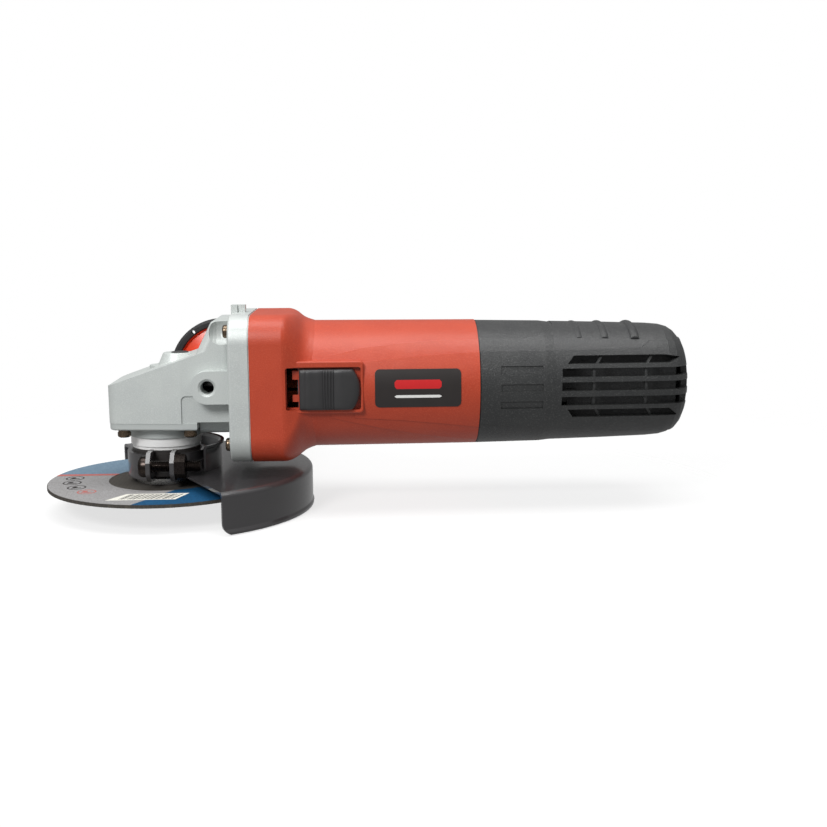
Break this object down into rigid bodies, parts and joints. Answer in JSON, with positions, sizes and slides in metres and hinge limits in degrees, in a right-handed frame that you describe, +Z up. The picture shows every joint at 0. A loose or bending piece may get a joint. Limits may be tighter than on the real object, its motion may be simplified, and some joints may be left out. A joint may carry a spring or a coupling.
{
  "type": "angle grinder",
  "caption": "Corded angle grinder with cast gear head, bevel drive, commutator motor, turnable wheel guard, slide switch, spindle lock, cutting disc and side handle.",
  "frame": {"origin": "centre of the spindle's free lower end, on the spindle axis", "axes": "+Z up along the spindle, +X towards the rear end of the motor, -Y the side with the switch knob"},
  "size_m": [0.3414, 0.2267, 0.108],
  "materials": {
    "cast_aluminium": "bead-blasted silver paint on the casting",
    "machined_aluminium": "turned, bright",
    "red_plastic": "fine spark-eroded texture",
    "dark_plastic": "coarse sparkle texture",
    "black_plastic": "satin",
    "white_plastic": "satin",
    "black_paint": "satin-gloss black powder coat",
    "blackened_steel": "blackened",
    "steel": "ground",
    "nickel_steel": "dark nickel plate",
    "electrical_steel": "stacked laminations",
    "copper": "enamelled wire",
    "brass": "pressed sheet",
    "carbon": "dull",
    "abrasive": "resin-bonded grit with glass mesh",
    "printed_paper": "printed",
    "label": "semi-gloss film",
    "black_rubber": "soft, dull",
    "orange_plastic": "glossy"
  },
  "bodies": {
    "housing": {"gear_housing": "cast_aluminium", "spindle_bearing_plate": "machined_aluminium", "bearing_plate_screws": "nickel_steel", "flange_screws": "nickel_steel", "lower_spindle_bearing": "steel", "upper_needle_bearing": "steel", "dust_seal": "black_rubber", "front_armature_bearing": "steel", "rear_armature_bearing": "steel", "rear_bearing_sleeve": "black_rubber", "bearing_retainer": "steel", "retainer_screws": "nickel_steel", "motor_housing": "red_plastic", "fan_baffle": "black_plastic", "stator_core": "electrical_steel", "stator_coils": "copper", "brush_holders": "brass", "carbon_brushes": "carbon", "brush_springs": "steel", "rear_cover_left": "dark_plastic", "rear_cover_right": "dark_plastic", "rear_cover_screws": "nickel_steel", "power_switch": "black_plastic", "capacitor": "white_plastic", "cord_clamp": "black_plastic", "cord_clamp_screws": "nickel_steel", "rating_label": "label", "side_handle_stud": "steel", "side_handle_collar": "orange_plastic", "side_handle_rim": "black_rubber", "side_handle_grip": "black_rubber"},
    "spindle": {"spindle": "steel", "gear_key": "steel", "gear_circlip": "steel", "bevel_gear": "steel", "inner_flange": "steel", "cutting_disc": "abrasive", "disc_bore_ring": "steel", "disc_label": "printed_paper", "lock_nut": "blackened_steel"},
    "armature": {"armature_shaft": "steel", "bevel_pinion": "steel", "pinion_nut": "steel", "armature_core": "electrical_steel", "armature_windings": "copper", "commutator": "copper", "cooling_fan": "black_plastic"},
    "guard": {"wheel_guard": "black_paint", "guard_clamp_band": "black_paint", "clamp_bolt": "blackened_steel", "clamp_nut": "blackened_steel"},
    "slide_switch": {"switch_knob": "black_plastic", "switch_link_rod": "black_plastic"},
    "lock": {"lock_button": "black_plastic", "lock_pin": "steel", "lock_spring": "steel"}
  },
  "joints": [
    {"name": "spindle_spin", "type": "hinge", "parent": "housing", "child": "spindle", "pos_m": [0, 0, 0.037], "axis": [0, 0, 1], "continuous": true},
    {"name": "armature_spin", "type": "hinge", "parent": "housing", "child": "armature", "pos_m": [0.098, 0, 0.0638], "axis": [1, 0, 0], "continuous": true},
    {"name": "guard_turn", "type": "hinge", "parent": "housing", "child": "guard", "pos_m": [0, 0, 0.0235], "axis": [0, 0, 1], "range_deg": [-90, 90]},
    {"name": "switch_slide", "type": "slide", "parent": "housing", "child": "slide_switch", "axis": [-1, 0, 0], "range_m": [0, 0.0063]},
    {"name": "spindle_lock", "type": "slide", "parent": "housing", "child": "lock", "axis": [0, 0, -1], "range_m": [0, 0.004], "stiffness_N_per_m": 900, "springref_m": -0.003, "deforming": ["lock_spring"]}
  ],
  "couplings": [
    {"joint": "armature_spin", "follows": "spindle_spin", "ratio": 3.3636}
  ]
}
